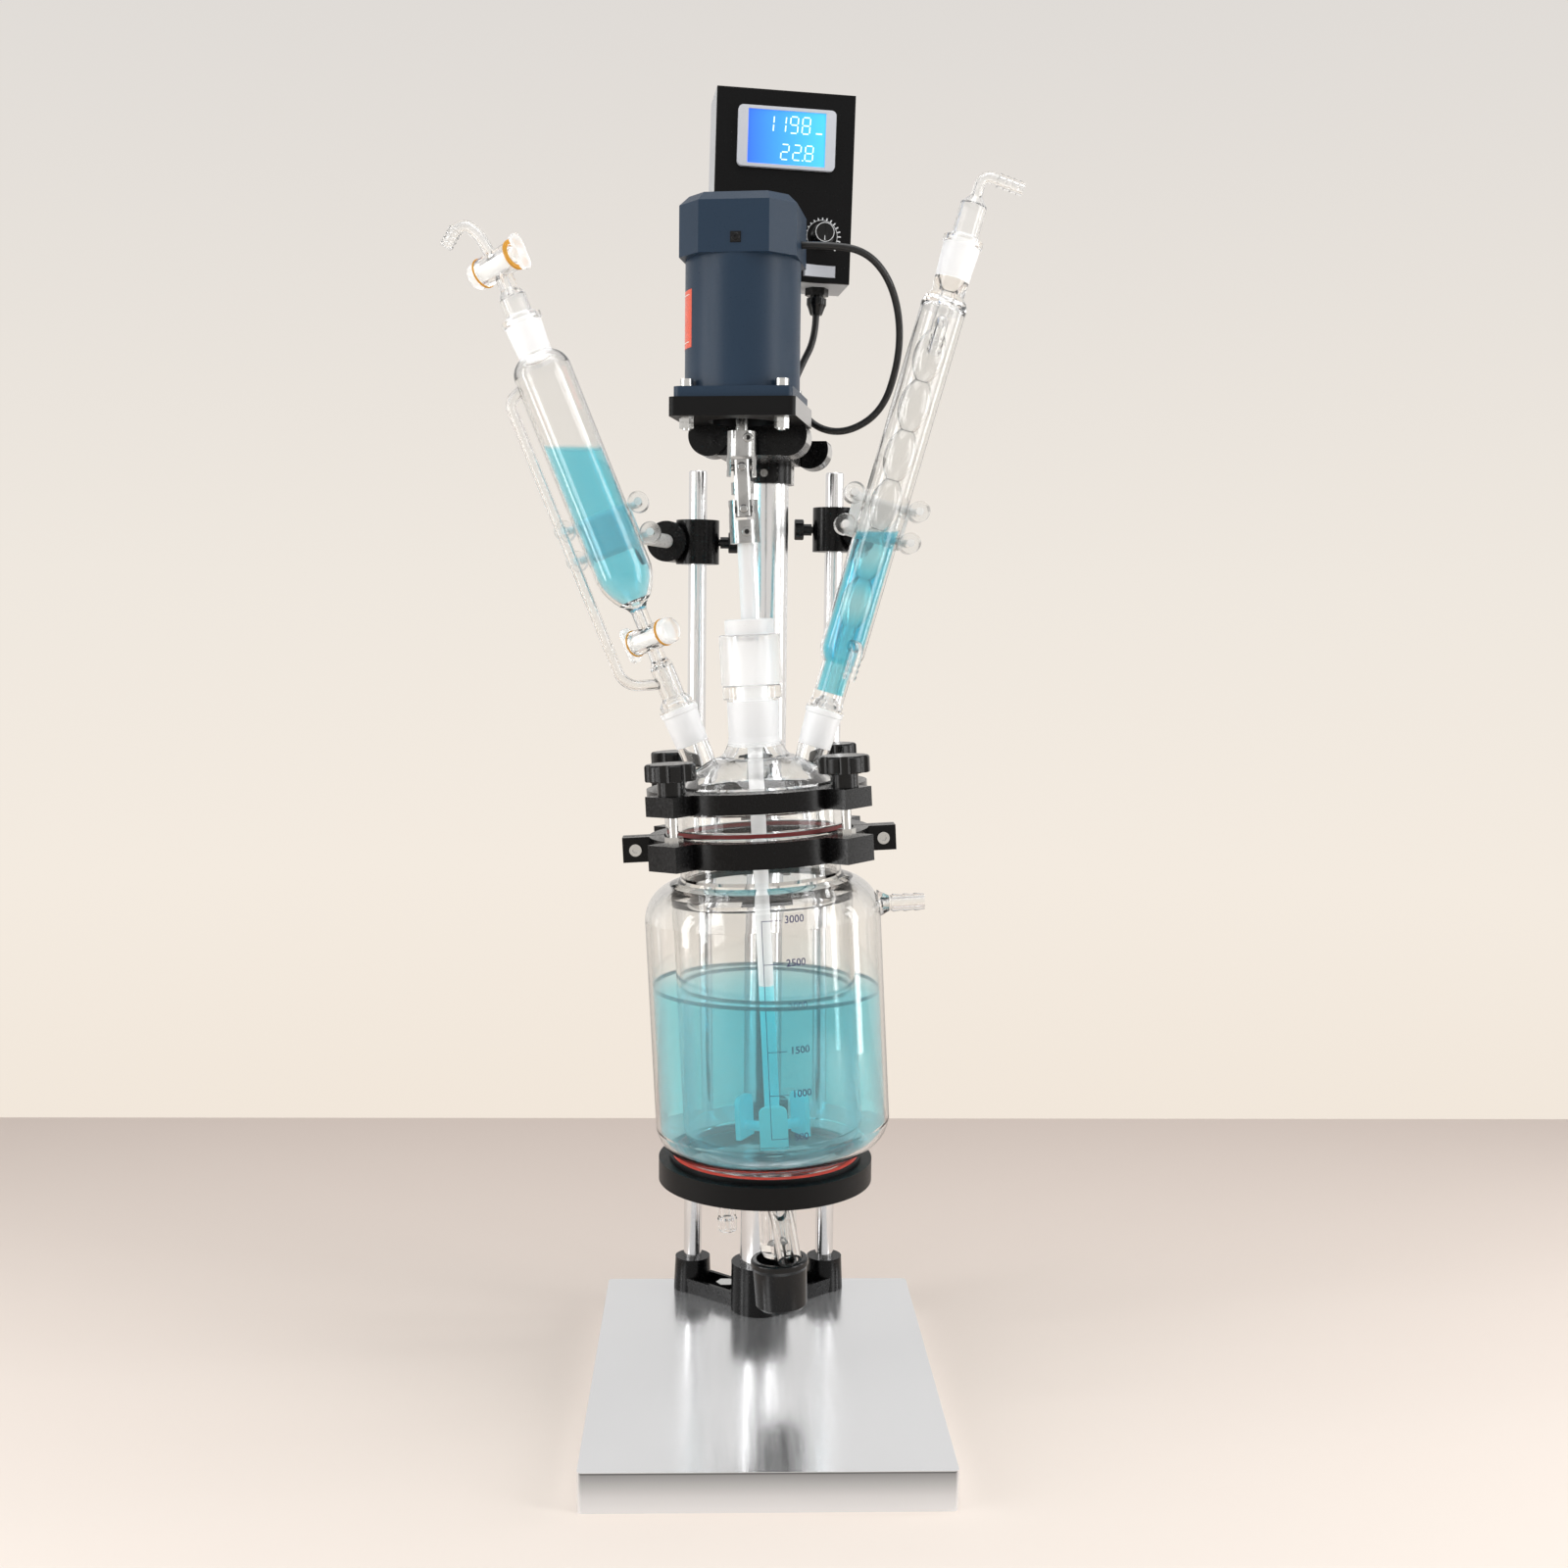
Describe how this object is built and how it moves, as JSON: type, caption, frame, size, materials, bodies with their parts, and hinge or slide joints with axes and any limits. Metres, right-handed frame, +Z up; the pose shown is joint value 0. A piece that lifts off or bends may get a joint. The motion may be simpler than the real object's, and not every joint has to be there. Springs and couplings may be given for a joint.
{
  "type": "jacketed glass stirred reactor",
  "caption": "Bench bioreactor: a double-walled glass vessel on a column stand, with an overhead stirrer motor, dropping funnel, bulb condenser and control box.",
  "frame": {"origin": "on the underside of the base, below the vessel's axis, on the base's middle line", "axes": "+Z up, +X to the condenser's side, +Y back to the column, so the front looks along -Y"},
  "size_m": [0.4435, 0.3947, 1.0472],
  "materials": {
    "stainless": "polished",
    "black_paint": "gloss",
    "black_plate": "satin",
    "slate_paint": "satin",
    "grey_paint": "satin",
    "bright_steel": "polished",
    "clear_glass": "gloss",
    "cyan_liquid": "gloss",
    "red_silicone": "satin",
    "orange_ring": "satin",
    "clear_silicone": "satin",
    "white_ptfe": "matte",
    "black_plastic": "gloss",
    "dark_plastic": "matte",
    "pale_plastic": "satin",
    "cable_rubber": "satin"
  },
  "bodies": {
    "frame": {"base_plate": "stainless", "foot_casting": "black_paint", "foot_bolts": "bright_steel", "main_column": "stainless", "left_side_rod": "stainless", "right_side_rod": "stainless", "support_tray": "black_paint", "tray_ring": "red_silicone", "jacketed_vessel": "clear_glass", "jacket_nipples": "clear_glass", "vessel_liquids": "cyan_liquid", "flange_gasket": "red_silicone", "lower_ring_front": "black_paint", "lower_ring_rear": "black_paint", "ear_screws": "bright_steel", "upper_clamp_ring": "black_paint", "clamp_studs": "bright_steel", "ring_bracket": "black_paint", "vessel_lid": "clear_glass", "seal_collar": "clear_glass", "seal_housing": "white_ptfe", "seal_cap": "white_ptfe", "motor_plate": "black_plate", "motor_bracket": "black_plate", "set_screws": "bright_steel", "motor_body": "slate_paint", "motor_cap": "slate_paint", "motor_bolts": "bright_steel", "control_box": "grey_paint", "box_band": "grey_paint", "control_panel": "dark_plastic", "display": "pale_plastic", "cable_gland": "dark_plastic", "motor_cable": "cable_rubber", "dropping_funnel": "clear_glass", "stopcock_rings": "orange_ring", "gas_adapter": "clear_glass", "condenser": "clear_glass", "glassware_liquid": "cyan_liquid", "condenser_adapter": "clear_glass", "clamp_bosses": "black_paint", "finger_clamps": "black_paint", "clamp_sleeves": "clear_silicone", "drain_valve": "clear_glass"},
    "stirrer": {"stirrer": "white_ptfe", "lower_yoke": "bright_steel", "joint_link": "bright_steel"},
    "drive": {"motor_shaft": "bright_steel", "upper_yoke": "bright_steel"},
    "star_knob_1_body": {"star_knob_1": "black_plastic"},
    "star_knob_2_body": {"star_knob_2": "black_plastic"},
    "star_knob_3_body": {"star_knob_3": "black_plastic"},
    "star_knob_4_body": {"star_knob_4": "black_plastic"},
    "drain_knob_body": {"drain_knob": "black_plastic"},
    "funnel_plug_body": {"funnel_plug": "white_ptfe"},
    "gas_plug_body": {"gas_plug": "white_ptfe"},
    "speed_dial_body": {"speed_dial": "black_plastic"},
    "power_rocker_body": {"power_rocker": "pale_plastic"},
    "left_thumbscrew_body": {"left_thumbscrew": "black_plastic"},
    "right_thumbscrew_body": {"right_thumbscrew": "black_plastic"}
  },
  "joints": [
    {"name": "stirrer_turn", "type": "hinge", "parent": "frame", "child": "stirrer", "pos_m": [0, 0, 0.333], "axis": [-0.0576, 0, 0.9983], "continuous": true},
    {"name": "drive_turn", "type": "hinge", "parent": "frame", "child": "drive", "pos_m": [-0.02393, 0, 0.77], "axis": [0, 0, 1], "continuous": true},
    {"name": "star_knob_1_turn", "type": "hinge", "parent": "frame", "child": "star_knob_1_body", "pos_m": [-0.07496, -0.0645, 0.51248], "axis": [-0.0576, 0, 0.9983], "continuous": true},
    {"name": "star_knob_2_turn", "type": "hinge", "parent": "frame", "child": "star_knob_2_body", "pos_m": [0.05383, -0.0645, 0.51991], "axis": [-0.0576, 0, 0.9983], "continuous": true},
    {"name": "star_knob_3_turn", "type": "hinge", "parent": "frame", "child": "star_knob_3_body", "pos_m": [0.05383, 0.0645, 0.51991], "axis": [-0.0576, 0, 0.9983], "continuous": true},
    {"name": "star_knob_4_turn", "type": "hinge", "parent": "frame", "child": "star_knob_4_body", "pos_m": [-0.07496, 0.0645, 0.51248], "axis": [-0.0576, 0, 0.9983], "continuous": true},
    {"name": "drain_knob_turn", "type": "hinge", "parent": "frame", "child": "drain_knob_body", "pos_m": [0.01284, 0, 0.11037], "axis": [-0.0576, 0, 0.9983], "continuous": true},
    {"name": "funnel_plug_turn", "type": "hinge", "parent": "frame", "child": "funnel_plug_body", "pos_m": [-0.09367, 0, 0.61656], "axis": [0.7088, -0.6428, 0.2907], "range_deg": [-90, 90]},
    {"name": "gas_plug_turn", "type": "hinge", "parent": "frame", "child": "gas_plug_body", "pos_m": [-0.20883, 0, 0.89736], "axis": [-0.7579, 0.5736, -0.3108], "range_deg": [-90, 90]},
    {"name": "speed_dial_turn", "type": "hinge", "parent": "frame", "child": "speed_dial_body", "pos_m": [0.03896, 0.06002, 0.93567], "axis": [0.0993, -0.9951, 0], "range_deg": [0, 270]},
    {"name": "power_rocker_turn", "type": "hinge", "parent": "frame", "child": "power_rocker_body", "pos_m": [0.0364, 0.06429, 0.90831], "axis": [0.0226, 0.0023, 0.9997], "range_deg": [-16, 0]},
    {"name": "left_thumbscrew_turn", "type": "hinge", "parent": "frame", "child": "left_thumbscrew_body", "pos_m": [-0.0395, 0.181, 0.69844], "axis": [1, 0, 0], "continuous": true},
    {"name": "right_thumbscrew_turn", "type": "hinge", "parent": "frame", "child": "right_thumbscrew_body", "pos_m": [0.0395, 0.181, 0.71065], "axis": [-1, 0, 0], "continuous": true}
  ],
  "couplings": [
    {"joint": "drive_turn", "follows": "stirrer_turn", "ratio": 1}
  ]
}
